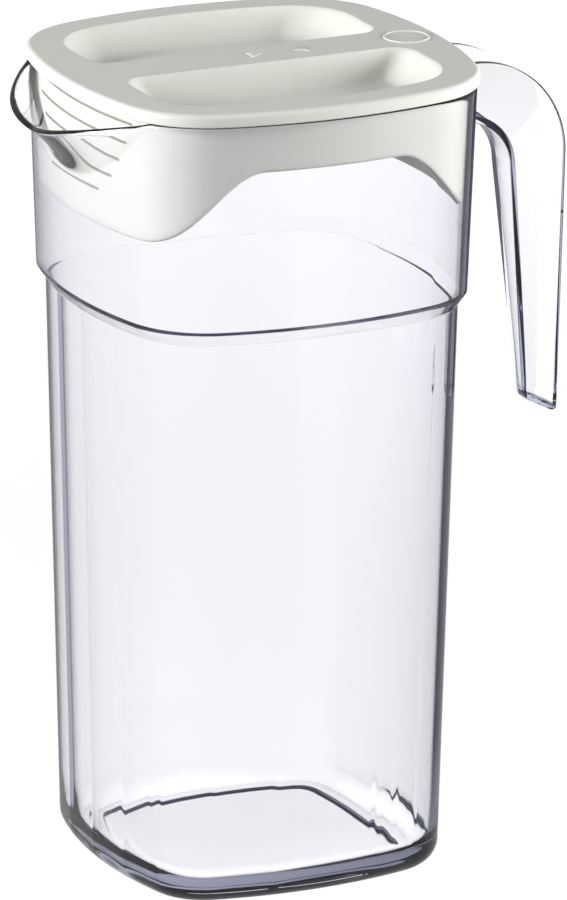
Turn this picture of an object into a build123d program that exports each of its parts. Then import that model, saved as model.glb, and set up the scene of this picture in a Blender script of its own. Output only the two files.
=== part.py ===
from build123d import *
from math import atan2, cos, pi, radians, sin, sqrt, tan
import os

# Clear pitcher with a lift-off strainer lid, in millimetres.
# +Z is up, the handle points along +X and the spout along -X.
# The origin is the centre of the flat base, on the table.

# outline shared by jug and lid: bowed sides joined by round corners
side_radius = 150.0
corner_radius = 30.0
rim_half = 61.3

# jug heights, and how much narrower it gets from the rim down
rim_height = 245.7
shoulder_height = 177.5
shoulder_rise = 4.0
shoulder_step = 2.75
collar_draft = 2.3
body_draft = 4.5
wall = 2.4
floor_thickness = 4.0
base_edge_radius = 7.5
floor_corner_radius = 9.0
shoulder_edge_radius = 1.2

# upright flutes beside the handle
flute_depth = 0.7
flute_bottoms = (22.0, 16.0)
flute_edges = (21.5, 30.5, 40.5)
flute_headroom = 4.0

# drooping spout lip
spout_depth = 24.7
spout_half_width = 42.0
spout_dip = 10.0
spout_reach = 12.4
spout_start = 0.5
spout_trim = 2.0
spout_levels = 6
lip_steps = 4
lip_bow = 1.3

# open-ended handle, a channel open on its outer side
handle_stand_out = 38.1
handle_top_drop = 2.7
handle_length = 115.0
handle_root_depth = 20.2
handle_top_depth = 15.8
handle_bottom_depth = 8.6
handle_top_width = 25.9
handle_bottom_width = 17.0
strap_top_width = 14.3
strap_bottom_width = 4.6
handle_wall = 2.5
handle_arch_radius = 31.0
handle_near_arch_radius = 16.0
handle_tip_rise = 4.0
handle_step = 4.5
hollow_start = 0.8
channel_proud = 4.0
arch_taper = 0.12
arch_steps = 4
grip_steps = 8

# lid
lid_overhang = 0.8
lid_plate = 4.0
lid_gap = 0.3
lid_edge_radius = 1.6
skirt_clearance = 0.4
skirt_wall = 2.0
skirt_draft = 1.6
skirt_shallow = 15.4
skirt_deep = 38.0
skirt_flat_half = 22.0
skirt_turn_inset = 6.3
skirt_steps = 8
pocket_inset = 10.4
pocket_depth = 9.0
pocket_end_inset = 14.8
pocket_floor = 2.0
pocket_corner_radius = 7.0
bar_width = 18.0
bar_ring_inset = 10.8
bar_ring_radius = 7.2
bar_ring_width = 0.9
bar_ring_height = 0.4
bar_arrow_places = (0.5, 16.5)
bar_arrow_size = 3.2

# strainer slots in the skirt at the spout
slot_height = 1.7
slot_pitch = 5.9
slot_half_lengths = (33.5, 31.5, 28.3, 24.0, 16.5)
slot_top_drop = 3.0

collar_half = rim_half - collar_draft
shoulder_half = collar_half - shoulder_step
base_half = shoulder_half - body_draft
collar_height = shoulder_height + shoulder_rise
spout_root_height = rim_height - spout_depth
handle_reach = rim_half + handle_stand_out
handle_top = rim_height - handle_top_drop
handle_bottom = handle_top - handle_length
lid_half = rim_half + lid_overhang
lid_underside = rim_height + lid_gap
lid_top = lid_underside + lid_plate
skirt_turn_end = rim_half - skirt_turn_inset
pocket_end = lid_half - pocket_end_inset
bar_ring_centre = lid_half - bar_ring_inset


def corner_centre():
    """Distance of each corner's arc centre from both mid planes."""
    shift = side_radius - rim_half
    reach = side_radius - corner_radius
    return (sqrt(2 * reach**2 - shift**2) - shift) / 2


def outline(half, height):
    """Face with bowed sides and round corners, offset evenly from the rim's outline."""
    grow = half - rim_half
    centre = corner_centre()
    swing = Vector(side_radius - rim_half + centre, centre).get_angle(Vector(1, 0))
    edges = []
    for quarter in range(4):
        turn = Rotation(0, 0, 90 * quarter)
        side = CenterArc((rim_half - side_radius, 0), side_radius + grow, -swing, 2 * swing)
        corner = CenterArc((centre, centre), corner_radius + grow, swing, 90 - 2 * swing)
        edges += [turn * side, turn * corner]
    return Pos(0, 0, height) * make_face(edges)


def stack(levels):
    """Solid through (half-width, height) levels, straight between neighbours."""
    solids = []
    for lower, upper in zip(levels, levels[1:]):
        solids.append(loft([outline(*lower), outline(*upper)], ruled=True))
    body = solids[0]
    for piece in solids[1:]:
        body += piece
    return body


def edges_between(part, low, high, flat=0.02):
    """Level edges of the part that lie between two heights."""
    chosen = []
    for edge in part.edges():
        box = edge.bounding_box()
        if low <= box.min.Z and box.max.Z <= high and box.size.Z < flat:
            chosen.append(edge)
    return chosen


def jug_outside():
    body = stack(
        [
            (base_half, 0),
            (shoulder_half, shoulder_height),
            (collar_half, collar_height),
            (rim_half, rim_height),
        ]
    )
    body = fillet(edges_between(body, -0.1, 0.1), base_edge_radius)
    shoulder = edges_between(body, shoulder_height - 0.1, collar_height + 0.1)
    return fillet(shoulder, shoulder_edge_radius)


def jug_inside():
    taper = body_draft / shoulder_height
    slope = atan2(shoulder_rise, shoulder_step)
    rise = wall * tan((pi / 2 - slope) / 2)
    body = stack(
        [
            (base_half + taper * floor_thickness - wall, floor_thickness),
            (shoulder_half - wall, shoulder_height + rise),
            (collar_half - wall, collar_height + rise),
            (rim_half - wall, rim_height),
            (rim_half - wall, rim_height + 2 * lid_plate),
        ]
    )
    floor_edges = edges_between(body, floor_thickness - 0.1, floor_thickness + 0.1)
    return fillet(floor_edges, floor_corner_radius)


def wall_x(across):
    """Outer face of the spout side at a distance from the mid plane."""
    return side_radius - rim_half - sqrt(side_radius**2 - across**2)


def lip_height(across):
    """Height of the spout's lip at a distance from the mid plane."""
    share = min(abs(across) / spout_half_width, 1.0)
    return rim_height - spout_dip * (1 - share**lip_bow)


def spout_section(height, inset):
    """Level slice of the scoop that stands out of the spout side."""
    rise = (height - spout_root_height) / spout_depth
    lip_rise = 1 - spout_dip / spout_depth
    depth = spout_reach * (rise / lip_rise) ** 1.5 - inset
    half = spout_half_width * sqrt(rise) - inset
    inner = wall_x(half) + 2 * wall
    points = []
    for step in range(-lip_steps, lip_steps + 1):
        across = half * step / lip_steps
        stand = depth * (1 - (step / lip_steps) ** 2)
        points.append((wall_x(across) + inset - stand, across))
    front = Spline(*points)
    back = Polyline(points[-1], (inner, half), (inner, -half), points[0])
    return Pos(0, 0, height) * make_face([front, *back.edges()])


def spout_solid(inset, start):
    top = rim_height + spout_trim
    heights = [start + (top - start) * step / (spout_levels - 1) for step in range(spout_levels)]
    return loft([spout_section(height, inset) for height in heights])


def spout_cut():
    """Room above the drooping lip and above the rim beside it."""
    steps = [spout_half_width * step / lip_steps for step in range(-lip_steps, lip_steps + 1)]
    lip = Spline(*[(across, lip_height(across)) for across in steps])
    high = rim_height + 2 * spout_trim
    left, right = lip @ 0, lip @ 1
    far = rim_half
    frame = Polyline(right, (far, right.Y), (far, high), (-far, high), (-far, left.Y), left)
    profile = Plane.YZ * make_face([lip, *frame.edges()])
    start = wall_x(0) / 2
    return Pos(start, 0, 0) * extrude(profile, start - 3 * spout_reach)


def flute(start, end, bottom, side):
    """Shallow upright hollow with a round foot, on the wall beside the handle."""
    width = end - start
    top = shoulder_height - flute_headroom
    middle = (start + end) / 2
    radius = (width / 2) ** 2 / (2 * flute_depth) + flute_depth / 2
    lean = body_draft / shoulder_height
    grow = shoulder_half - rim_half
    centre = corner_centre()
    if middle < centre:
        spot = Vector(middle, sqrt((side_radius + grow) ** 2 - middle**2) - side_radius + rim_half)
        out = Vector(middle, spot.Y + side_radius - rim_half).normalized()
    else:
        out = Vector(middle - centre, sqrt((corner_radius + grow) ** 2 - (middle - centre) ** 2))
        spot = Vector(centre, centre) + out
        out = out.normalized()
    axis = spot + out * (radius - flute_depth)
    foot = Vector(axis.X, axis.Y * side, top)
    down = Vector(-out.X * lean, -out.Y * lean * side, -1).normalized()
    length = top - bottom - width / 2
    rod = extrude(Plane(foot, z_dir=down) * Circle(radius), length)
    return rod


def handle_stations():
    """Inner and outer points of the handle's side view, root to tip, with the share of the taper."""
    arch = handle_arch_radius
    far_centre = (handle_reach - arch, handle_top - arch)
    near_arch = handle_near_arch_radius
    near_centre = (
        handle_reach - handle_top_depth - near_arch,
        handle_top - handle_root_depth - near_arch,
    )
    stations = []
    for root_x in (collar_half - wall / 2, collar_half + handle_step):
        stations.append(((root_x, near_centre[1] + near_arch), (root_x, handle_top), 0.0))
    for step in range(arch_steps + 1):
        turn = radians(90 - 90 * step / arch_steps)
        near = (near_centre[0] + near_arch * cos(turn), near_centre[1] + near_arch * sin(turn))
        far = (far_centre[0] + arch * cos(turn), far_centre[1] + arch * sin(turn))
        stations.append((near, far, arch_taper * step / arch_steps))
    tip_z = handle_bottom + handle_tip_rise
    for step in range(1, grip_steps + 1):
        share = step / grip_steps
        depth = handle_top_depth + (handle_bottom_depth - handle_top_depth) * share
        near = (handle_reach - depth, near_centre[1] + (tip_z - near_centre[1]) * share)
        far = (handle_reach, far_centre[1] + (handle_bottom - far_centre[1]) * share)
        stations.append((near, far, arch_taper + (1 - arch_taper) * share))
    return stations


def handle_widths(share):
    strap = strap_top_width + (strap_bottom_width - strap_top_width) * share
    back = handle_top_width + (handle_bottom_width - handle_top_width) * share
    return strap, back


def channel_section(near, far, strap, back, lift, side_wall, proud):
    """Four-cornered slice through the handle, between its inner and outer points."""
    start = Vector(near[0], 0, near[1])
    stop = Vector(far[0], 0, far[1])
    along = (stop - start).normalized()
    depth = (stop - start).length
    flare = (back - strap) / 2 / depth
    corners = []
    for reach, sign in ((lift, -1), (depth + proud, -1), (depth + proud, 1), (lift, 1)):
        half = strap / 2 + flare * reach - side_wall
        spot = start + along * reach
        corners.append((spot.X, sign * half, spot.Z))
    return make_face(Polyline(*corners, close=True))


def handle():
    stations = handle_stations()
    solid = [channel_section(n, f, *handle_widths(s), 0, 0, 0) for n, f, s in stations]
    hollow = []
    for number, (near, far, share) in enumerate(stations):
        if number == 0:
            near = (rim_half + hollow_start, near[1])
            far = (rim_half + hollow_start, far[1])
        if share == 1.0:
            near = (near[0], near[1] + handle_wall)
            far = (far[0], far[1] + handle_wall)
        widths = handle_widths(share)
        hollow.append(channel_section(near, far, *widths, handle_wall, handle_wall, channel_proud))
    return loft(solid) - loft(hollow)


def jug():
    outside = jug_outside() + spout_solid(0, spout_root_height + spout_start)
    inside = jug_inside() + spout_solid(wall, spout_root_height + spout_start + 1.25 * wall)
    body = outside + handle() - inside
    body -= spout_cut()
    for side in (-1, 1):
        for start, end, bottom in zip(flute_edges, flute_edges[1:], flute_bottoms):
            body -= flute(start, end, bottom, side)
    return body


def skirt_edge():
    """Half of the skirt's wavy lower edge in side view, as (across, height) points."""
    shallow = lid_underside - skirt_shallow
    deep = lid_underside - skirt_deep
    points = []
    for step in range(skirt_steps + 1):
        share = step / skirt_steps
        across = skirt_flat_half + (skirt_turn_end - skirt_flat_half) * share
        fall = share * share * (3 - 2 * share)
        points.append((across, shallow + (deep - shallow) * fall))
    return points


def skirt():
    inside_half = rim_half - wall - skirt_clearance
    low = lid_underside - skirt_deep
    outer = [(inside_half - skirt_draft, low), (inside_half, lid_underside + lid_plate / 2)]
    inner = [(half - skirt_wall, height) for half, height in outer]
    ring = stack(outer) - stack(inner)
    points = skirt_edge()
    right = Spline(*points, tangents=[(1, 0), (1, 0)])
    left = mirror(right, about=Plane.YZ)
    floor = low - lid_plate
    far = lid_half
    end = points[-1]
    lid_line = Line((-points[0][0], points[0][1]), points[0])
    frame_points = [end, (far, end[1]), (far, floor), (-far, floor), (-far, end[1]), (-end[0], end[1])]
    frame = Polyline(*frame_points)
    profile = Plane.XZ * make_face([right, left, lid_line, *frame.edges()])
    return ring - extrude(profile, far, both=True)


def slots():
    """Level strainer slots through the skirt on the spout side, shorter towards the bottom."""
    cuts = []
    for row, half in enumerate(slot_half_lengths):
        height = lid_underside - slot_top_drop - row * slot_pitch
        cuts.append(Pos(-rim_half, 0, height) * Box(rim_half, 2 * half, slot_height))
    return cuts


def pocket_face(grow, height, side):
    """D-shaped outline of a finger pocket on one side of the bar."""
    shape = outline(lid_half - pocket_inset + grow, height)
    near = bar_width / 2 - grow
    reach = lid_half
    window = Pos(0, side * (near + reach / 2), height) * Rectangle(2 * (pocket_end + grow), reach)
    return shape & window


def pocket(grow, side, bottom, top):
    solid = extrude(pocket_face(grow, bottom, side), top - bottom)
    uprights = [edge for edge in solid.edges() if edge.bounding_box().size.Z > (top - bottom) * 0.9]
    corners = [edge for edge in uprights if abs(edge.center().X) > pocket_end - pocket_floor]
    solid = fillet(corners, pocket_corner_radius + grow)
    floor_edges = edges_between(solid, bottom - 0.1, bottom + 0.1)
    return fillet(floor_edges, pocket_depth / 2)


def bar_marks():
    """Raised ring and two small arrows on the bar."""
    ring = Circle(bar_ring_radius) - Circle(bar_ring_radius - bar_ring_width)
    marks = [Pos(bar_ring_centre, 0, lid_top) * extrude(ring, bar_ring_height)]
    for place, turn in zip(bar_arrow_places, (0, 180)):
        arrow = Pos(place, 0, lid_top) * Rotation(0, 0, turn) * RegularPolygon(bar_arrow_size / 2, 3)
        marks.append(extrude(arrow, bar_ring_height))
    return marks


def lid():
    plate = extrude(outline(lid_half, lid_underside), lid_plate)
    plate = fillet(edges_between(plate, lid_top - 0.1, lid_top + 0.1), lid_edge_radius)
    body = plate + skirt()
    for cut in slots():
        body -= cut
    for side in (-1, 1):
        body += pocket(pocket_floor, side, lid_top - pocket_depth - pocket_floor, lid_top - lid_plate / 2)
    for side in (-1, 1):
        body -= pocket(0, side, lid_top - pocket_depth, lid_top + lid_plate)
    for mark in bar_marks():
        body += mark
    return body


if __name__ == "__main__":
    os.makedirs("parts", exist_ok=True)
    for name, solid in (("jug", jug()), ("lid", lid())):
        export_step(solid, f"parts/{name}.step")
        print(name, solid.is_valid, len(solid.solids()), round(solid.volume))
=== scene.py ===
from math import atan2, cos, hypot, pi, radians, sin, sqrt

import bmesh
import bpy
from mathutils import Matrix, Vector


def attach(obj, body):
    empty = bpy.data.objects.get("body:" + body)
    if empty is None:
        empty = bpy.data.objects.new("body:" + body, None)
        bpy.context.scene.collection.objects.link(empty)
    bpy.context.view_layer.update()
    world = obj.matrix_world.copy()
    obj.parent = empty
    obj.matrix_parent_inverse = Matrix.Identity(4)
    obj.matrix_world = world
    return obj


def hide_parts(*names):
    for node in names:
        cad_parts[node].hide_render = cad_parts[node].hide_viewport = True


# Clear pitcher with an off-white strainer lid.
# Lengths are millimetres, but metres in the materials and the studio, as in the finished meshes.
# +Z is up, the handle points along +X and the spout along -X.

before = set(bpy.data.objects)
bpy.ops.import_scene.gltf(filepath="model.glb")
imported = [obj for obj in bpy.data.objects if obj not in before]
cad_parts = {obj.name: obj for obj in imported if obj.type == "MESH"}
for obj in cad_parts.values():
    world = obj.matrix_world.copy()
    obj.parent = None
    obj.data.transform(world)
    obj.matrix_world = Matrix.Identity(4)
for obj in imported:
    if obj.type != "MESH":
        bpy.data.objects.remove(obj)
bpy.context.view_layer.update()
mm = 0.001
print("frame loaded:", sorted(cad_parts))


# the level outline shared by jug and lid
outline = {
    "sideRadius": 150.0,  # bow of each side
    "cornerRadius": 30.0,
    "rimHalf": 61.3,
    "sideSteps": 72,
    "cornerSteps": 48,
}


def outlineArcs():
    # how far a side's centre lies past the middle, a corner's centre, and half the angle of a side
    shift = outline["sideRadius"] - outline["rimHalf"]
    reach = outline["sideRadius"] - outline["cornerRadius"]
    centre = (sqrt(2 * reach**2 - shift**2) - shift) / 2
    return shift, centre, atan2(centre, shift + centre)


def outlineColumns():
    # one (x, y, normal x, normal y) per column, all the way round at the rim
    shift, centre, swing = outlineArcs()
    columns = []
    for quarter in range(4):
        turn = quarter * pi / 2
        for step in range(outline["sideSteps"]):
            a = -swing + 2 * swing * step / outline["sideSteps"]
            columns.append((-shift, 0, outline["sideRadius"], a, turn))
        for step in range(outline["cornerSteps"]):
            a = swing + (pi / 2 - 2 * swing) * step / outline["cornerSteps"]
            columns.append((centre, centre, outline["cornerRadius"], a, turn))
    points = []
    for cx, cy, radius, a, turn in columns:
        x, y = cx + radius * cos(a), cy + radius * sin(a)
        nx, ny = cos(a), sin(a)
        points.append((
            x * cos(turn) - y * sin(turn), x * sin(turn) + y * cos(turn),
            nx * cos(turn) - ny * sin(turn), nx * sin(turn) + ny * cos(turn),
        ))
    return points


columns = outlineColumns()
columnCount = len(columns)


def ringAt(half, z):
    # level ring of points at a half-width, offset evenly from the rim's outline
    grow = half - outline["rimHalf"]
    return [Vector((x + nx * grow, y + ny * grow, z)) for x, y, nx, ny in columns]


def roundedPath(points, radii, steps=6):
    # polyline of (half, z) points with its inner corners rounded
    path = [Vector(points[0])]
    for before, here, after, radius in zip(points, points[1:], points[2:], radii):
        here = Vector(here)
        back, ahead = (Vector(before) - here).normalized(), (Vector(after) - here).normalized()
        angle = back.angle(ahead)
        if radius == 0:
            path.append(here)
            continue
        centre = here + (back + ahead).normalized() * radius / sin(angle / 2)
        start = here + back * radius * cos(angle / 2) / sin(angle / 2) - centre
        end = here + ahead * radius * cos(angle / 2) / sin(angle / 2) - centre
        sweep = start.angle(end)
        for step in range(steps + 1):
            share = step / steps
            weightA, weightB = sin((1 - share) * sweep) / sin(sweep), sin(share * sweep) / sin(sweep)
            path.append(centre + start * weightA + end * weightB)
    path.append(Vector(points[-1]))
    return path


def dividedPath(path, longest):
    # adds points so that no step of the path is longer than longest(z)
    out = [path[0]]
    for a, b in zip(path, path[1:]):
        pieces = max(1, int((b - a).length / longest((a.y + b.y) / 2) + 0.999))
        for k in range(1, pieces + 1):
            out.append(a.lerp(b, k / pieces))
    return out


def meshPiece(name, bm, body, material, smoothAngle=35):
    # finishes a bmesh as a named piece that rides on a body
    bmesh.ops.recalc_face_normals(bm, faces=bm.faces)
    bmesh.ops.scale(bm, vec=(mm, mm, mm), verts=bm.verts)
    mesh = bpy.data.meshes.new(name)
    bm.to_mesh(mesh)
    bm.free()
    mesh.shade_smooth()
    mesh.set_sharp_from_angle(angle=radians(smoothAngle))
    mesh.materials.append(material)
    piece = bpy.data.objects.new(name, mesh)
    bpy.context.scene.collection.objects.link(piece)
    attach(piece, body)
    return piece


def addRings(bm, rings, wrap=True):
    # quads between neighbouring rings; returns the rings' vertices
    made = [[bm.verts.new(p) for p in ring] for ring in rings]
    count = len(rings[0])
    for lower, upper in zip(made, made[1:]):
        for k in range(count if wrap else count - 1):
            nxt = (k + 1) % count
            bm.faces.new((lower[k], lower[nxt], upper[nxt], upper[k]))
    return made


def closeRing(bm, ring, point):
    # fan from a ring to one point
    tip = bm.verts.new(point)
    for k in range(len(ring)):
        bm.faces.new((ring[k], ring[(k + 1) % len(ring)], tip))


def applyModifiers(piece):
    # bakes the piece's modifiers into its mesh
    seen = piece.evaluated_get(bpy.context.evaluated_depsgraph_get())
    mesh = bpy.data.meshes.new_from_object(seen)
    piece.modifiers.clear()
    piece.data = mesh
    return piece


def combine(piece, other, operation):
    # boolean with another closed piece, which is then removed
    cut = piece.modifiers.new("combine", "BOOLEAN")
    cut.operation = operation
    cut.solver = "MANIFOLD"
    cut.object = other
    applyModifiers(piece)
    bpy.data.objects.remove(other)
    return piece


# materials
def newGroup(name, inputs, outputs):
    group = bpy.data.node_groups.new(name, "ShaderNodeTree")
    for label, kind, value in inputs:
        socket = group.interface.new_socket(label, in_out="INPUT", socket_type=kind)
        socket.default_value = value
    for label, kind in outputs:
        group.interface.new_socket(label, in_out="OUTPUT", socket_type=kind)
    return group, group.nodes.new("NodeGroupInput"), group.nodes.new("NodeGroupOutput")


def addNode(tree, kind, **values):
    node = tree.nodes.new(kind)
    for key, value in values.items():
        setattr(node, key, value)
    return node


def mouldedGrainGroup():
    # slow ripple and fine grain left by a moulding tool, in the object's own coordinates
    group, into, out = newGroup(
        "mouldedGrain",
        [
            ("Ripple Scale", "NodeSocketFloat", 40.0),
            ("Grain Scale", "NodeSocketFloat", 1500.0),
            ("Grain Share", "NodeSocketFloat", 0.3),
        ],
        [("Height", "NodeSocketFloat"), ("Mottle", "NodeSocketFloat")],
    )
    where = addNode(group, "ShaderNodeTexCoord")
    ripple = addNode(group, "ShaderNodeTexNoise")
    ripple.inputs["Detail"].default_value = 2.0
    grain = addNode(group, "ShaderNodeTexNoise")
    grain.inputs["Detail"].default_value = 3.0
    blend = addNode(group, "ShaderNodeMix", data_type="FLOAT")
    links = group.links
    links.new(where.outputs["Object"], ripple.inputs["Vector"])
    links.new(where.outputs["Object"], grain.inputs["Vector"])
    links.new(into.outputs["Ripple Scale"], ripple.inputs["Scale"])
    links.new(into.outputs["Grain Scale"], grain.inputs["Scale"])
    links.new(into.outputs["Grain Share"], blend.inputs["Factor"])
    links.new(ripple.outputs["Fac"], blend.inputs["A"])
    links.new(grain.outputs["Fac"], blend.inputs["B"])
    links.new(blend.outputs["Result"], out.inputs["Height"])
    links.new(ripple.outputs["Fac"], out.inputs["Mottle"])
    return group


mouldedGrain = mouldedGrainGroup()


def plainMaterial(name):
    material = bpy.data.materials.new(name)
    material.use_nodes = True
    tree = material.node_tree
    shader = tree.nodes["Principled BSDF"]
    return material, tree, shader


def grainInto(tree, shader, look):
    # the grain group feeds a bump and a small spread of roughness
    group = addNode(tree, "ShaderNodeGroup", node_tree=mouldedGrain)
    group.inputs["Ripple Scale"].default_value = look["rippleScale"]
    group.inputs["Grain Scale"].default_value = look["grainScale"]
    group.inputs["Grain Share"].default_value = look["grainShare"]
    bump = addNode(tree, "ShaderNodeBump")
    bump.inputs["Strength"].default_value = look["bumpStrength"]
    bump.inputs["Distance"].default_value = look["bumpHeight"]
    spread = addNode(tree, "ShaderNodeMapRange")
    spread.inputs["To Min"].default_value, spread.inputs["To Max"].default_value = look["roughness"]
    tree.links.new(group.outputs["Height"], bump.inputs["Height"])
    tree.links.new(bump.outputs["Normal"], shader.inputs["Normal"])
    tree.links.new(group.outputs["Mottle"], spread.inputs["Value"])
    tree.links.new(spread.outputs["Result"], shader.inputs["Roughness"])
    return group


def clearPlasticMaterial():
    look = {
        "tint": (0.979, 0.981, 0.993, 1),
        "bending": 1.57,
        "lampTint": (0.96, 0.962, 0.97, 1),  # what lamps keep on their way through
        "roughness": (0.0, 0.03),
        "rippleScale": 45.0, "grainScale": 600.0, "grainShare": 0.02,
        "bumpStrength": 0.25, "bumpHeight": 0.00002,
    }
    material, tree, shader = plainMaterial("clearPlastic")
    shader.inputs["Base Color"].default_value = look["tint"]
    shader.inputs["Transmission Weight"].default_value = 1.0
    shader.inputs["IOR"].default_value = look["bending"]
    grainInto(tree, shader, look)
    path = addNode(tree, "ShaderNodeLightPath")
    soft = addNode(tree, "ShaderNodeMath", operation="MAXIMUM")
    through = addNode(tree, "ShaderNodeBsdfTransparent")
    through.inputs["Color"].default_value = look["lampTint"]
    mix = addNode(tree, "ShaderNodeMixShader")
    tree.links.new(path.outputs["Is Shadow Ray"], soft.inputs[0])
    tree.links.new(path.outputs["Is Diffuse Ray"], soft.inputs[1])
    tree.links.new(soft.outputs[0], mix.inputs["Fac"])
    tree.links.new(shader.outputs["BSDF"], mix.inputs[1])
    tree.links.new(through.outputs["BSDF"], mix.inputs[2])
    tree.links.new(mix.outputs["Shader"], tree.nodes["Material Output"].inputs["Surface"])
    return material


def lidPlasticMaterial():
    look = {
        "pale": (0.770, 0.768, 0.722, 1),
        "deep": (0.745, 0.742, 0.690, 1),
        "bending": 1.49,
        "roughness": (0.34, 0.44),
        "rippleScale": 60.0, "grainScale": 2600.0, "grainShare": 0.6,
        "bumpStrength": 0.35, "bumpHeight": 0.00006,
    }
    material, tree, shader = plainMaterial("lidPlastic")
    shader.inputs["IOR"].default_value = look["bending"]
    group = grainInto(tree, shader, look)
    colour = addNode(tree, "ShaderNodeMix", data_type="RGBA")
    colour.inputs["A"].default_value = look["pale"]
    colour.inputs["B"].default_value = look["deep"]
    tree.links.new(group.outputs["Mottle"], colour.inputs["Factor"])
    tree.links.new(colour.outputs["Result"], shader.inputs["Base Color"])
    return material


clearPlastic = clearPlasticMaterial()
lidPlastic = lidPlasticMaterial()
print("materials made")


# the jug
jug = {
    "baseHalf": 51.75, "shoulderHalf": 56.25, "collarHalf": 59.0, "rimHalf": 61.3,
    "shoulderZ": 177.5, "collarZ": 181.5, "rimZ": 245.7,
    "wall": 2.4, "floor": 4.0,
    "baseRound": 7.5, "floorRound": 9.0, "shoulderRound": 1.2, "innerShoulderRound": 0.8,
    "footWidth": 4.0, "footRise": 0.8, "footSlope": 1.4, "footRound": 0.6,
    "rimCrown": 0.8,  # how round the rim is, 1 is a half circle
    "rimSteps": 8, "floorRings": 14,
    "rowStep": 9.0, "fineRows": ((4, 34, 1.3), (168, 186, 1.0), (205, 250, 1.5)),  # (from z, to z, step)
}
spout = {
    "rootZ": 221.0, "halfWidth": 43.5, "dip": 9.8, "lipBow": 1.25,
    "bulge": 0.222, "sideEase": 1.25, "blendZ": 205.0,
}
facets = {
    "spoutEdges": (0.0, 21.0, 42.0), "spoutShare": 0.7,
    "sideEdges": (-37.0, -16.0, 21.5), "sideShare": 0.4,
    "facing": 0.75,  # how squarely a side has to face out to count
    "footFade": (2.0, 6.0), "stepFade": 1.5,  # heights over which facets and flutes fade out
}
flutes = {
    "edges": (20.6, 29.2, 39.2), "feet": (22.0, 16.0), "depth": 0.2, "headroom": 4.0,
    "closeIn": 0.09,  # how much nearer together they stand at the table
    "rimShare": 0.16, "besideHandle": 20.0,
}


def lipZ(y):
    share = min(abs(y) / spout["halfWidth"], 1.0)
    return jug["rimZ"] - spout["dip"] * (1 - share ** spout["lipBow"])


def spoutStand(y, z):
    # how far the scoop stands out of the spout side
    rise = (z - spout["rootZ"]) / (jug["rimZ"] - spout["rootZ"])
    if rise <= 0:
        return 0.0
    half = spout["halfWidth"] * sqrt(rise)
    if abs(y) >= half:
        return 0.0
    depth = spout["bulge"] * (z - spout["rootZ"]) ** 1.5
    return depth * (1 - (y / half) ** 2) ** spout["sideEase"]


def chordDepth(place, edges):
    # how far flat facets between edges lie inside the bowed side
    for start, end in zip(edges, edges[1:]):
        if start <= place <= end:
            return (place - start) * (end - place) / (2 * outline["sideRadius"])
    return 0.0


def fluteDepth(x, z):
    # flat-bottomed upright panels with round feet
    top = jug["shoulderZ"] - flutes["headroom"]
    x = x / (1 - flutes["closeIn"] * (1 - z / jug["shoulderZ"]))
    for start, end, foot in zip(flutes["edges"], flutes["edges"][1:], flutes["feet"]):
        half, middle = (end - start) / 2, (start + end) / 2
        below = max(0.0, foot + half - z, z - top)
        away = hypot(x - middle, below) / half
        if away < 1:
            share = min(1.0, (1 - away) / flutes["rimShare"])
            return flutes["depth"] * share * share * (3 - 2 * share)
    return 0.0


def wallDetail(x, y, nx, ny, z):
    # shallow facets and flutes pressed into the outside of the lower wall
    start, length = facets["footFade"]
    fade = min(1.0, max(0.0, (z - start) / length))
    fade *= min(1.0, max(0.0, (jug["shoulderZ"] + facets["stepFade"] - z) / facets["stepFade"]))
    if fade == 0:
        return 0.0
    depth = 0.0
    if nx < -facets["facing"]:
        depth = chordDepth(abs(y), facets["spoutEdges"]) * facets["spoutShare"]
    elif abs(ny) > facets["facing"] and x < flutes["edges"][0]:
        depth = chordDepth(x, facets["sideEdges"]) * facets["sideShare"]
    if x > 0 and abs(y) > flutes["besideHandle"]:
        depth += fluteDepth(x, z)
    return depth * fade


def collarHalfAt(z):
    share = (z - jug["collarZ"]) / (jug["rimZ"] - jug["collarZ"])
    return jug["collarHalf"] + (jug["rimHalf"] - jug["collarHalf"]) * share


def skinRing(half, z, inset):
    # one ring of the jug's outer (inset 0) or inner skin, with spout, facets and flutes
    ring = []
    crown = jug["wall"] / 2 * jug["rimCrown"]
    for x, y, nx, ny in columns:
        here = z
        rowHalf = half
        if z > spout["blendZ"]:
            edge = jug["rimZ"] if x > 0 else lipZ(y)
            share = (z - spout["blendZ"]) / (jug["rimZ"] - spout["blendZ"])
            here = spout["blendZ"] + share * (edge - crown - spout["blendZ"])
            rowHalf = collarHalfAt(here) - inset
        if inset == 0 and z < jug["collarZ"]:
            rowHalf -= wallDetail(x, y, nx, ny, here)
        grow = rowHalf - outline["rimHalf"]
        px, py = x + nx * grow, y + ny * grow
        if x < 0:
            px -= spoutStand(py, here)
        ring.append(Vector((px, py, here)))
    return ring


def shrunkRing(ring, share, z):
    return [Vector((p.x * share, p.y * share, z)) for p in ring]


def rimRings(outer, below, inner):
    # rounded lip between the last outer and inner rings
    rings = []
    for step in range(1, jug["rimSteps"]):
        a = pi * step / jug["rimSteps"]
        ring = []
        for o, b, i in zip(outer, below, inner):
            middle, across = (o + i) / 2, (o - i) / 2
            up = (o - b).normalized()
            up = (up - across * up.dot(across) / across.length_squared).normalized()
            ring.append(middle + across * cos(a) + up * across.length * jug["rimCrown"] * sin(a))
        rings.append(ring)
    return rings


def jugRowStep(z):
    # longest row along the wall: fine at the feet of the flutes, at the step and in the spout
    for low, high, step in jug["fineRows"]:
        if low < z < high:
            return step
    return jug["rowStep"]


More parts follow.
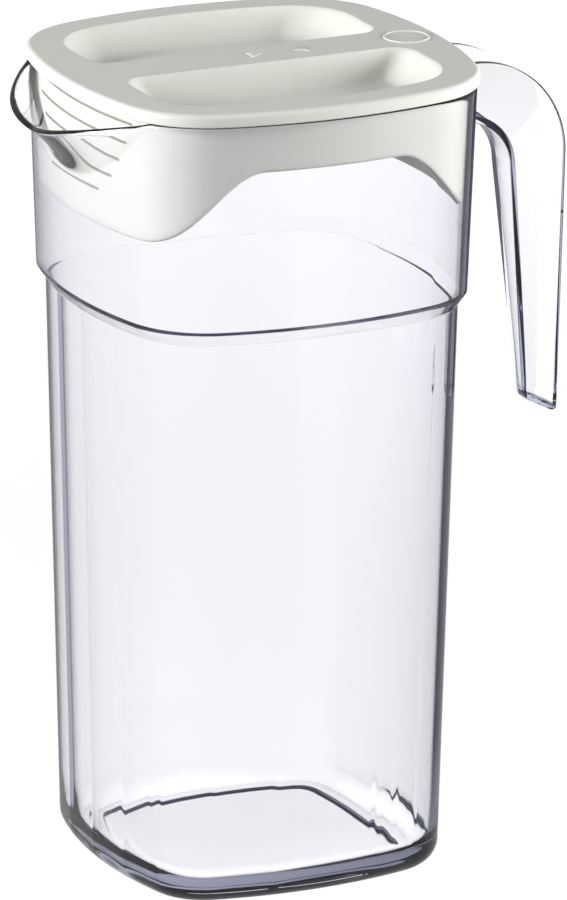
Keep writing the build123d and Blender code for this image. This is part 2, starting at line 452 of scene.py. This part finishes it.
def jugShell():
    wall = jug["wall"]
    taper = (jug["shoulderHalf"] - jug["baseHalf"]) / jug["shoulderZ"]
    slope = atan2(jug["collarZ"] - jug["shoulderZ"], jug["collarHalf"] - jug["shoulderHalf"])
    rise = wall * sin((pi / 2 - slope) / 2) / cos((pi / 2 - slope) / 2)
    footIn = jug["baseHalf"] - jug["baseRound"] - jug["footWidth"]
    outer = roundedPath(
        [
            (footIn - jug["footSlope"], jug["footRise"]), (footIn, 0), (jug["baseHalf"], 0),
            (jug["shoulderHalf"], jug["shoulderZ"]), (jug["collarHalf"], jug["collarZ"]),
            (jug["rimHalf"], jug["rimZ"]),
        ],
        [jug["footRound"], jug["baseRound"], jug["shoulderRound"], jug["shoulderRound"]],
        steps=8,
    )
    floorHalf = jug["baseHalf"] + taper * jug["floor"] - wall
    inner = roundedPath(
        [
            (jug["rimHalf"] - wall, jug["rimZ"]),
            (jug["collarHalf"] - wall, jug["collarZ"] + rise),
            (jug["shoulderHalf"] - wall, jug["shoulderZ"] + rise),
            (floorHalf, jug["floor"]),
            (floorHalf - jug["floorRound"] - 1, jug["floor"]),
        ],
        [jug["innerShoulderRound"], jug["innerShoulderRound"], jug["floorRound"]],
        steps=8,
    )
    outer = dividedPath(outer, jugRowStep)
    inner = dividedPath(inner, jugRowStep)
    outerRings = [skinRing(half, z, 0) for half, z in outer]
    innerRings = [skinRing(half, z, wall) for half, z in inner]
    under, over = [], []
    for step in range(1, jug["floorRings"] + 1):
        share = step / (jug["floorRings"] + 1)
        under.append(shrunkRing(outerRings[0], share, jug["footRise"]))
        over.append(shrunkRing(innerRings[-1], 1 - share, jug["floor"]))
    rim = rimRings(outerRings[-1], outerRings[-2], innerRings[0])
    bm = bmesh.new()
    made = addRings(bm, under + outerRings + rim + innerRings + over)
    closeRing(bm, made[0], (0, 0, jug["footRise"]))
    closeRing(bm, made[-1], (0, 0, jug["floor"]))
    return meshPiece("clearJug", bm, "jug", clearPlastic)


# the open-ended handle
handle = {
    "reach": 99.4, "top": 243.0, "bottom": 128.0, "tipRise": 4.0,
    "rootDepth": 20.2, "topDepth": 15.8, "bottomDepth": 8.6,
    "topWidth": 25.9, "bottomWidth": 17.0, "strapTop": 14.3, "strapBottom": 4.6,
    "wall": 2.5, "archRadius": 31.0, "nearArchRadius": 16.0, "archTaper": 0.12,
    "rootIn": 59.2, "hollowIn": 62.1, "leastHollow": 0.35,
    "archSteps": 22, "gripSteps": 26,
    "edgeRound": 0.55, "tipRound": 2.0, "edgeAngle": 25,
}


def handleStations():
    # (near point, far point, share of the taper) from the wall to the tip, in the XZ plane
    arch, nearArch = handle["archRadius"], handle["nearArchRadius"]
    farX, farZ = handle["reach"] - arch, handle["top"] - arch
    nearX = handle["reach"] - handle["topDepth"] - nearArch
    nearZ = handle["top"] - handle["rootDepth"] - nearArch
    stations = []
    for x in (handle["rootIn"], handle["hollowIn"], (handle["hollowIn"] + nearX) / 2):
        stations.append((Vector((x, nearZ + nearArch)), Vector((x, handle["top"])), 0.0))
    for step in range(handle["archSteps"] + 1):
        share = step / handle["archSteps"]
        a = pi / 2 * (1 - share)
        near = Vector((nearX + nearArch * cos(a), nearZ + nearArch * sin(a)))
        far = Vector((farX + arch * cos(a), farZ + arch * sin(a)))
        stations.append((near, far, handle["archTaper"] * share))
    tipZ = handle["bottom"] + handle["tipRise"]
    for step in range(1, handle["gripSteps"] + 1):
        share = step / handle["gripSteps"]
        depth = handle["topDepth"] + (handle["bottomDepth"] - handle["topDepth"]) * share
        near = Vector((handle["reach"] - depth, nearZ + (tipZ - nearZ) * share))
        far = Vector((handle["reach"], farZ + (handle["bottom"] - farZ) * share))
        stations.append((near, far, handle["archTaper"] + (1 - handle["archTaper"]) * share))
    return stations


def channelPoints(near, far, share):
    # outer four corners, then the hollow's four, of one slice through the channel
    strap = handle["strapTop"] + (handle["strapBottom"] - handle["strapTop"]) * share
    back = handle["topWidth"] + (handle["bottomWidth"] - handle["topWidth"]) * share
    along = (far - near).normalized()
    depth = (far - near).length
    flare = (back - strap) / 2 / depth
    wall = handle["wall"]

    def spot(reach, half):
        p = near + along * reach
        return Vector((p.x, half, p.y))

    outer = [(depth, -back / 2), (0, -strap / 2), (0, strap / 2), (depth, back / 2)]
    deepHalf = max(handle["leastHollow"], strap / 2 + flare * wall - wall)
    hollow = [(depth, back / 2 - wall), (wall, deepHalf), (wall, -deepHalf), (depth, wall - back / 2)]
    return [spot(r, h) for r, h in outer], [spot(r, h) for r, h in hollow]


def handlePiece():
    stations = handleStations()
    near, far, share = stations[-1]
    lift = Vector((0, handle["wall"]))
    stations.insert(-1, (near + lift, far + lift, share))
    bm = bmesh.new()
    outers, hollows = [], []
    for near, far, share in stations:
        outer, hollow = channelPoints(near, far, share)
        outers.append([bm.verts.new(p) for p in outer])
        hollows.append([bm.verts.new(p) for p in hollow])
    last = len(stations) - 1
    for k in range(last):
        a, b = outers[k], outers[k + 1]
        for corner in range(3):
            bm.faces.new((a[corner], a[corner + 1], b[corner + 1], b[corner]))
        c, d = hollows[k], hollows[k + 1]
        if 1 <= k < last - 1:  # the open channel
            for corner in range(3):
                bm.faces.new((c[corner], c[corner + 1], d[corner + 1], d[corner]))
            bm.faces.new((a[3], c[0], d[0], b[3]))
            bm.faces.new((c[3], a[0], b[0], d[3]))
    bm.faces.new(hollows[1])
    bm.faces.new(hollows[last - 1])
    bm.faces.new((outers[0][3], outers[0][0], outers[1][0], hollows[1][3], hollows[1][0], outers[1][3]))
    bm.faces.new((
        outers[last - 1][3], hollows[last - 1][0], hollows[last - 1][3], outers[last - 1][0],
        outers[last][0], outers[last][3],
    ))
    bm.faces.new(outers[0])
    bm.faces.new(outers[last])
    for group in (hollows[0], hollows[last]):
        for vert in group:
            bm.verts.remove(vert)
    bmesh.ops.recalc_face_normals(bm, faces=bm.faces)
    tip = outers[last]
    ends = [bm.edges.get((tip[1], tip[2])), bm.edges.get((tip[3], tip[0]))]
    bmesh.ops.bevel(bm, geom=ends, offset=handle["tipRound"], segments=5, profile=0.5, affect="EDGES")
    sharp = radians(handle["edgeAngle"])
    edges = [e for e in bm.edges if e.is_manifold and e.calc_face_angle() > sharp]
    edges = [e for e in edges if min(v.co.x for v in e.verts) > handle["rootIn"] + 0.5]
    bmesh.ops.bevel(
        bm, geom=edges, offset=handle["edgeRound"], segments=3, profile=0.5,
        affect="EDGES", clamp_overlap=True,
    )
    return meshPiece("handleChannel", bm, "jug", clearPlastic)


clearJug = combine(jugShell(), handlePiece(), "UNION")
clearJug.data.shade_smooth()
clearJug.data.set_sharp_from_angle(angle=radians(35))
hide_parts("jug")
print("jug made:", len(clearJug.data.polygons), "faces")


# the lid
lid = {
    "half": 62.1, "top": 250.0, "plate": 4.0, "edgeRound": 1.6, "lowerRound": 0.5,
    "flangeWidth": 4.0,
    "guard": 0.4,  # flat strip kept round each pocket
}
pocket = {
    "inset": 10.4, "depth": 9.0, "end": 47.3, "barWidth": 18.0, "cornerRadius": 7.0,
    "barSlope": 7.0, "outerSlope": 7.0, "endSlope": 13.0, "endPower": 1.5,
    "shellWall": 2.0, "fullness": 2.2, "lip": 0.07,
    "middleY": 28.5, "middleHalf": 25.0, "middlePull": 0.6,
    "rings": 26, "ringSpread": 1.25, "ringReach": 0.98,
    "barSteps": 60, "roundSteps": 12, "sideSteps": 8, "turnSteps": 24,
}
skirt = {
    "clearance": 0.4, "wall": 2.0, "draft": 1.6, "shallow": 15.4, "deep": 38.0,
    "flatHalf": 22.0, "turnEnd": 55.0,
    "intoPlate": 1.0, "rows": 14, "edgeSteps": 6,
}
slots = {
    "height": 0.9, "pitch": 5.9, "halfLengths": (33.5, 31.5, 28.3, 24.0, 16.5), "topDrop": 3.0,
    "outX": -66.0, "inX": -46.0, "endSteps": 8,
}
marks = {
    "ringX": 51.3, "ringRadius": 7.2, "ringWidth": 0.9, "ringSteps": 64,
    "pointers": (0.5, 16.5), "pointerSize": 1.6, "pointerTop": 0.75,
    "pointerPull": 0.45, "pointerSteps": 12,
    "height": 0.35, "sunk": 0.3, "ease": 0.2,
}


def pocketLoop(side, grow):
    # D-shaped loop round one finger pocket, as (point, outward normal), bar edge first
    shift, centre, swing = outlineArcs()
    bowRadius = shift + lid["half"] - pocket["inset"]
    farRadius = bowRadius - (outline["sideRadius"] - outline["cornerRadius"])
    endRadius = pocket["end"] - centre
    near, end, corner = pocket["barWidth"] / 2, pocket["end"], pocket["cornerRadius"]
    loop = []
    barSteps, roundSteps = pocket["barSteps"], pocket["roundSteps"]
    sideSteps, turnSteps = pocket["sideSteps"], pocket["turnSteps"]
    for step in range(barSteps):  # along the bar
        x = (end - corner) * (1 - 2 * step / barSteps)
        loop.append((x, near, 0.0, -1.0))
    for step in range(roundSteps):
        a = -pi / 2 - pi / 2 * step / roundSteps
        loop.append((corner - end + corner * cos(a), near + corner + corner * sin(a), cos(a), sin(a)))
    for step in range(sideSteps):
        loop.append((-end, near + corner + (centre - near - corner) * step / sideSteps, -1.0, 0.0))
    turn = pi / 2 - swing
    for step in range(turnSteps):
        share = step / turnSteps
        a = turn * share
        radius = endRadius + (farRadius - endRadius) * share
        loop.append((-centre - radius * cos(a), centre + radius * sin(a), -cos(a), sin(a)))
    for step in range(barSteps):
        a = -swing + 2 * swing * step / barSteps
        loop.append((bowRadius * sin(a), -shift + bowRadius * cos(a), sin(a), cos(a)))
    for step in range(turnSteps):
        share = 1 - step / turnSteps
        a = turn * share
        radius = endRadius + (farRadius - endRadius) * share
        loop.append((centre + radius * cos(a), centre + radius * sin(a), cos(a), sin(a)))
    for step in range(sideSteps):
        loop.append((end, centre - (centre - near - corner) * step / sideSteps, 1.0, 0.0))
    for step in range(roundSteps):
        a = -pi / 2 * step / roundSteps
        loop.append((end - corner + corner * cos(a), near + corner + corner * sin(a), cos(a), sin(a)))
    placed = []
    for x, y, nx, ny in loop:
        placed.append((Vector((x + nx * grow, side * (y + ny * grow))), Vector((nx, side * ny))))
    return placed


def pocketRings(side, grow, lift):
    # nested rings from the pocket's edge down its scooped walls to the middle of its floor
    loop = pocketLoop(side, grow)
    rings = []
    top = lid["top"] + lift
    for step in range(pocket["rings"] + 1):
        share = (step / pocket["rings"]) ** pocket["ringSpread"] * pocket["ringReach"]
        ring = []
        for point, normal in loop:
            heart = Vector((
                max(-pocket["middleHalf"], min(pocket["middleHalf"], point.x * pocket["middlePull"])),
                side * pocket["middleY"],
            ))
            spot = point.lerp(heart, share)
            away = (spot - point).length
            edgeSlope = pocket["outerSlope"] if normal.y * side > 0 else pocket["barSlope"]
            slope = edgeSlope + (pocket["endSlope"] - edgeSlope) * abs(normal.x) ** pocket["endPower"]
            u = min(1.0, away / slope)
            u = u * u * (1 + pocket["lip"]) / (u + pocket["lip"])
            fall = pocket["depth"] * (1 - (1 - u) ** pocket["fullness"])
            ring.append(Vector((spot.x, spot.y, top - fall)))
        rings.append(ring)
    return rings


def fillBetween(bm, rings, z):
    # flat face with holes between closed rings of vertices at one height
    edges = []
    for ring in rings:
        for k in range(len(ring)):
            edges.append(bm.edges.get((ring[k], ring[(k + 1) % len(ring)])))
    bmesh.ops.triangle_fill(bm, use_beauty=True, edges=edges, normal=(0, 0, 1))


def lidPlate():
    bm = bmesh.new()
    half, top, plate = lid["half"], lid["top"], lid["plate"]
    under = top - plate
    guard = lid["guard"]
    edge = roundedPath(
        [
            (half - lid["edgeRound"] - guard, top), (half, top),
            (half, under), (half - lid["flangeWidth"], under),
        ],
        [lid["edgeRound"], lid["lowerRound"]],
        steps=7,
    )
    flange = addRings(bm, [ringAt(h, z) for h, z in edge])
    topLoops, lowLoops = [flange[0]], [flange[-1]]
    for side in (-1, 1):
        flat = [Vector((p.x, p.y, top)) for p, _ in pocketLoop(side, guard)]
        made = addRings(bm, [flat] + pocketRings(side, 0, 0))
        bm.faces.new(made[-1])
        topLoops.append(made[0])
        wall = pocket["shellWall"]
        lower = pocketRings(side, wall, -wall)
        hanging = [[Vector((p.x, p.y, under)) for p in lower[0]]]
        for ring in lower[1:]:
            hanging.append([Vector((p.x, p.y, min(p.z, under - 0.01))) for p in ring])
        made = addRings(bm, hanging)
        bm.faces.new(made[-1])
        lowLoops.append(made[0])
    fillBetween(bm, topLoops, top)
    fillBetween(bm, lowLoops, under)
    return meshPiece("lidPlate", bm, "lid", lidPlastic)


def skirtLow(x):
    # height of the skirt's wavy lower edge at a distance along the side
    share = (abs(x) - skirt["flatHalf"]) / (skirt["turnEnd"] - skirt["flatHalf"])
    share = max(0.0, min(1.0, share))
    fall = share * share * (3 - 2 * share)
    under = lid["top"] - lid["plate"]
    return under - skirt["shallow"] - (skirt["deep"] - skirt["shallow"]) * fall


def skirtPiece():
    inside = jug["rimHalf"] - jug["wall"] - skirt["clearance"]
    wall = skirt["wall"]
    top = lid["top"] - lid["plate"] + skirt["intoPlate"]
    rows, edgeSteps = skirt["rows"], skirt["edgeSteps"]
    rings = []
    outerColumns = ringAt(inside, 0)
    lows = [skirtLow(p.x) + wall / 2 for p in outerColumns]

    def skirtRing(share, inset, drop):
        ring = []
        for (x, y, nx, ny), low in zip(columns, lows):
            z = top + (low - top) * share - drop
            lean = skirt["draft"] * (top - z) / skirt["deep"]
            grow = inside - lean - inset - outline["rimHalf"]
            ring.append(Vector((x + nx * grow, y + ny * grow, z)))
        return ring

    for row in range(rows + 1):
        rings.append(skirtRing(row / rows, 0, 0))
    for step in range(1, edgeSteps):
        a = pi * step / edgeSteps
        rings.append(skirtRing(1, wall / 2 * (1 - cos(a)), wall / 2 * sin(a)))
    for row in range(rows, -1, -1):
        rings.append(skirtRing(row / rows, wall, 0))
    bm = bmesh.new()
    made = addRings(bm, rings)
    first, last = made[0], made[-1]
    for k in range(columnCount):
        nxt = (k + 1) % columnCount
        bm.faces.new((first[k], last[k], last[nxt], first[nxt]))
    return meshPiece("lidSkirt", bm, "lid", lidPlastic)


def slotCutter(row, half):
    # long bar with round ends that cuts one strainer slot
    z = lid["top"] - lid["plate"] - slots["topDrop"] - row * slots["pitch"]
    radius = slots["height"] / 2
    shape = []
    for end in (1, -1):
        for step in range(slots["endSteps"] + 1):
            a = pi * step / slots["endSteps"] - pi / 2
            shape.append((end * (half - radius + radius * cos(a)), z + end * radius * sin(a)))
    bm = bmesh.new()
    addRings(bm, [[Vector((x, y, h)) for y, h in shape] for x in (slots["outX"], slots["inX"])])
    bm.verts.ensure_lookup_table()
    count = len(shape)
    bm.faces.new([bm.verts[k] for k in range(count)])
    bm.faces.new([bm.verts[count + k] for k in range(count)])
    return meshPiece("slotCutter", bm, "lid", lidPlastic)


def barMarks():
    # plain raised ring and two small pointers on the bar
    bm = bmesh.new()
    outer, inner = marks["ringRadius"], marks["ringRadius"] - marks["ringWidth"]
    low, high, ease = lid["top"] - marks["sunk"], lid["top"] + marks["height"], marks["ease"]
    profile = [
        (outer, low), (outer, high - ease), (outer - ease, high),
        (inner + ease, high), (inner, high - ease), (inner, low),
    ]
    steps = marks["ringSteps"]
    rings = []
    for radius, z in profile:
        ring = []
        for step in range(steps):
            a = 2 * pi * step / steps
            ring.append(Vector((marks["ringX"] + radius * cos(a), radius * sin(a), z)))
        rings.append(ring)
    made = addRings(bm, rings)
    for k in range(steps):
        nxt = (k + 1) % steps
        bm.faces.new((made[0][k], made[-1][k], made[-1][nxt], made[0][nxt]))
    steps = marks["pointerSteps"]
    for place, turn in zip(marks["pointers"], (0, pi)):
        levels = []
        for size, z in ((1, low), (1, high - ease), (marks["pointerTop"], high)):
            ring = []
            for step in range(steps):
                a = 2 * pi * step / steps
                reach = marks["pointerSize"] * size / (1 - marks["pointerPull"] * cos(3 * a))
                ring.append(Vector((place + reach * cos(a + turn), reach * sin(a + turn), z)))
            levels.append(ring)
        made = addRings(bm, levels)
        bm.faces.new(made[-1])
        bm.faces.new(made[0])
    return meshPiece("lidMarks", bm, "lid", lidPlastic)


plate = lidPlate()
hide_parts("lid")
skirtRingPiece = skirtPiece()
for row, half in enumerate(slots["halfLengths"]):
    combine(skirtRingPiece, slotCutter(row, half), "DIFFERENCE")
skirtRingPiece.data.shade_smooth()
skirtRingPiece.data.set_sharp_from_angle(angle=radians(35))
marksPiece = barMarks()
print("lid made:", len(plate.data.polygons), "and", len(skirtRingPiece.data.polygons), "faces")


# the camera, solved from the photo's outlines
camera = {
    "azimuth": -25.308, "elevation": 17.442, "roll": 0.38,
    "distance": 3127.87, "aimZ": 125.0, "right": 10.172, "up": 1.109,
    "lens": 413.38, "sensor": 36.0, "clip": (0.1, 30.0),  # clip in metres
}


def addCamera():
    az, el, roll = (radians(camera[k]) for k in ("azimuth", "elevation", "roll"))
    back = Vector((sin(az) * cos(el), -cos(az) * cos(el), sin(el)))
    right = Vector((cos(az), sin(az), 0))
    up = back.cross(right)
    right, up = right * cos(roll) + up * sin(roll), up * cos(roll) - right * sin(roll)
    spot = Vector((0, 0, camera["aimZ"])) + back * camera["distance"]
    spot += right * camera["right"] + up * camera["up"]
    data = bpy.data.cameras.new("photoCamera")
    data.lens, data.sensor_width = camera["lens"], camera["sensor"]
    data.clip_start, data.clip_end = camera["clip"]
    seen = bpy.data.objects.new("photoCamera", data)
    seen.matrix_world = Matrix((
        (right.x, up.x, back.x, spot.x * mm),
        (right.y, up.y, back.y, spot.y * mm),
        (right.z, up.z, back.z, spot.z * mm),
        (0, 0, 0, 1),
    ))
    bpy.context.scene.collection.objects.link(seen)
    bpy.context.scene.camera = seen


addCamera()


# the white studio
studio = {
    "ambient": 0.14,
    "seenWhite": 1.0,
    "mirrored": 0.35,  # what reflections show of the white
    # what rays that bounced inside the clear walls see: dark, but a pale softbox on the spout side
    "edgeDark": (0.012, 0.014, 0.045, 1), "edgePale": (0.60, 0.62, 0.78, 1),
    "edgeTurn": (0.25, -0.35), "edgeReach": 0.6,
    "floorAlbedo": 0.25, "floorSize": 3.2, "floorCells": 8, "floorDrop": 0.0002,
    "floorGlow": {"From Min": 0.25, "From Max": 0.9, "To Min": 0.77, "To Max": 0.94},
    # painted light: extra floor glow under the jug, seen only through the base, fading by distance from
    # the middle
    "paintedUnderGlow": {"From Min": 0.045, "From Max": 0.065, "To Min": 0.36, "To Max": 0.08},
    "lampAim": (0, 0, 0.18),
    "lamps": {  # shine says whether glossy surfaces mirror the lamp
        "leftLamp": {"place": (-1.16, 0.05, 0.56), "size": (0.5, 0.5), "power": 20.0, "shine": True},
        "rightLamp": {"place": (1.15, -0.52, 0.38), "size": (0.4, 0.7), "power": 23.0, "shine": False},
        "frontLamp": {"place": (0.75, -1.1, 0.5), "size": (0.5, 0.5), "power": 4.5, "shine": False},
    },
}


def seenShare(tree, path):
    # how much white a ray sees (0 for plain light), and whether it bounced inside a clear wall
    dimmed = addNode(tree, "ShaderNodeMath", operation="MULTIPLY")
    dimmed.inputs[1].default_value = studio["mirrored"]
    direct = addNode(tree, "ShaderNodeMath", operation="MAXIMUM")
    seen = addNode(tree, "ShaderNodeMath", operation="MAXIMUM")
    bounced = addNode(tree, "ShaderNodeMath", operation="MINIMUM")
    bounced.inputs[1].default_value = 1.0
    trapped = addNode(tree, "ShaderNodeMath", operation="MULTIPLY")
    tree.links.new(path.outputs["Is Camera Ray"], direct.inputs[0])
    tree.links.new(path.outputs["Is Glossy Ray"], dimmed.inputs[0])
    tree.links.new(dimmed.outputs[0], direct.inputs[1])
    tree.links.new(direct.outputs[0], seen.inputs[0])
    tree.links.new(path.outputs["Is Transmission Ray"], seen.inputs[1])
    tree.links.new(path.outputs["Glossy Depth"], bounced.inputs[0])
    tree.links.new(bounced.outputs[0], trapped.inputs[0])
    tree.links.new(path.outputs["Is Transmission Ray"], trapped.inputs[1])
    return seen, trapped


def edgeColour(tree, vector, reach):
    # dark, turning pale towards the spout side
    axes = addNode(tree, "ShaderNodeSeparateXYZ")
    turn = addNode(tree, "ShaderNodeMapRange")
    turn.inputs["From Min"].default_value = studio["edgeTurn"][0] * reach
    turn.inputs["From Max"].default_value = studio["edgeTurn"][1] * reach
    colour = addNode(tree, "ShaderNodeMix", data_type="RGBA")
    colour.inputs["A"].default_value = studio["edgeDark"]
    colour.inputs["B"].default_value = studio["edgePale"]
    tree.links.new(vector, axes.inputs["Vector"])
    tree.links.new(axes.outputs["X"], turn.inputs["Value"])
    tree.links.new(turn.outputs["Result"], colour.inputs["Factor"])
    return colour.outputs["Result"]


def addWorld():
    world = bpy.data.worlds.new("studio")
    bpy.context.scene.world = world
    world.use_nodes = True
    tree = world.node_tree
    shade = tree.nodes["Background"]
    path = addNode(tree, "ShaderNodeLightPath")
    seen, trapped = seenShare(tree, path)
    level = addNode(tree, "ShaderNodeMix", data_type="RGBA")
    level.inputs["A"].default_value = (studio["ambient"],) * 3 + (1,)
    level.inputs["B"].default_value = (studio["seenWhite"],) * 3 + (1,)
    edge = addNode(tree, "ShaderNodeMix", data_type="RGBA")
    where = addNode(tree, "ShaderNodeTexCoord")
    tree.links.new(edgeColour(tree, where.outputs["Generated"], 1.0), edge.inputs["B"])
    tree.links.new(seen.outputs[0], level.inputs["Factor"])
    tree.links.new(level.outputs["Result"], edge.inputs["A"])
    tree.links.new(trapped.outputs[0], edge.inputs["Factor"])
    tree.links.new(edge.outputs["Result"], shade.inputs["Color"])


def addFloor():
    material, tree, shader = plainMaterial("paleFloor")
    shader.inputs["Base Color"].default_value = (studio["floorAlbedo"],) * 3 + (1,)
    shader.inputs["Roughness"].default_value = 1.0
    shader.inputs["Specular IOR Level"].default_value = 0.0
    path = addNode(tree, "ShaderNodeLightPath")
    seen, trapped = seenShare(tree, path)
    where = addNode(tree, "ShaderNodeTexCoord")
    # painted light: the floor under the jug glows more for rays seen through the base
    away = addNode(tree, "ShaderNodeVectorMath", operation="LENGTH")
    under = addNode(tree, "ShaderNodeMapRange", interpolation_type="SMOOTHSTEP")
    for key, value in studio["paintedUnderGlow"].items():
        under.inputs[key].default_value = value
    tree.links.new(where.outputs["Object"], away.inputs[0])
    tree.links.new(away.outputs["Value"], under.inputs["Value"])
    through = addNode(tree, "ShaderNodeMath", operation="MULTIPLY")
    tree.links.new(under.outputs["Result"], through.inputs[1])
    glow = addNode(tree, "ShaderNodeMapRange", interpolation_type="SMOOTHSTEP")
    for key, value in studio["floorGlow"].items():
        glow.inputs[key].default_value = value
    strength = addNode(tree, "ShaderNodeMath", operation="MULTIPLY_ADD")
    tree.links.new(away.outputs["Value"], glow.inputs["Value"])
    tree.links.new(glow.outputs["Result"], strength.inputs[1])
    dark = addNode(tree, "ShaderNodeEmission")
    tree.links.new(edgeColour(tree, where.outputs["Object"], studio["edgeReach"]), dark.inputs["Color"])
    mix = addNode(tree, "ShaderNodeMixShader")
    shader.inputs["Emission Color"].default_value = (1, 1, 1, 1)
    tree.links.new(path.outputs["Is Transmission Ray"], through.inputs[0])
    tree.links.new(seen.outputs[0], strength.inputs[0])
    tree.links.new(through.outputs[0], strength.inputs[2])
    tree.links.new(strength.outputs[0], shader.inputs["Emission Strength"])
    tree.links.new(trapped.outputs[0], mix.inputs["Fac"])
    tree.links.new(shader.outputs["BSDF"], mix.inputs[1])
    tree.links.new(dark.outputs["Emission"], mix.inputs[2])
    # seen from below the floor is clear, so that the underside shows
    side = addNode(tree, "ShaderNodeNewGeometry")
    clear = addNode(tree, "ShaderNodeBsdfTransparent")
    sides = addNode(tree, "ShaderNodeMixShader")
    tree.links.new(side.outputs["Backfacing"], sides.inputs["Fac"])
    tree.links.new(mix.outputs["Shader"], sides.inputs[1])
    tree.links.new(clear.outputs["BSDF"], sides.inputs[2])
    tree.links.new(sides.outputs["Shader"], tree.nodes["Material Output"].inputs["Surface"])
    bm = bmesh.new()
    cells = studio["floorCells"]
    bmesh.ops.create_grid(bm, x_segments=cells, y_segments=cells, size=studio["floorSize"])
    mesh = bpy.data.meshes.new("floor")
    bm.to_mesh(mesh)
    bm.free()
    mesh.materials.append(material)
    floor = bpy.data.objects.new("floor", mesh)
    floor.location.z = -studio["floorDrop"]
    bpy.context.scene.collection.objects.link(floor)


def addLamps():
    for name, lamp in studio["lamps"].items():
        data = bpy.data.lights.new(name, "AREA")
        data.shape = "RECTANGLE"
        data.size, data.size_y = lamp["size"]
        data.energy = lamp["power"]
        light = bpy.data.objects.new(name, data)
        light.location = lamp["place"]
        toAim = Vector(studio["lampAim"]) - Vector(lamp["place"])
        light.rotation_euler = toAim.to_track_quat("-Z", "Y").to_euler()
        light.visible_camera = False
        light.visible_glossy = lamp["shine"]
        light.visible_transmission = False
        bpy.context.scene.collection.objects.link(light)


addWorld()
addFloor()
addLamps()
bpy.context.scene.view_settings.view_transform = "Standard"
print("studio made")
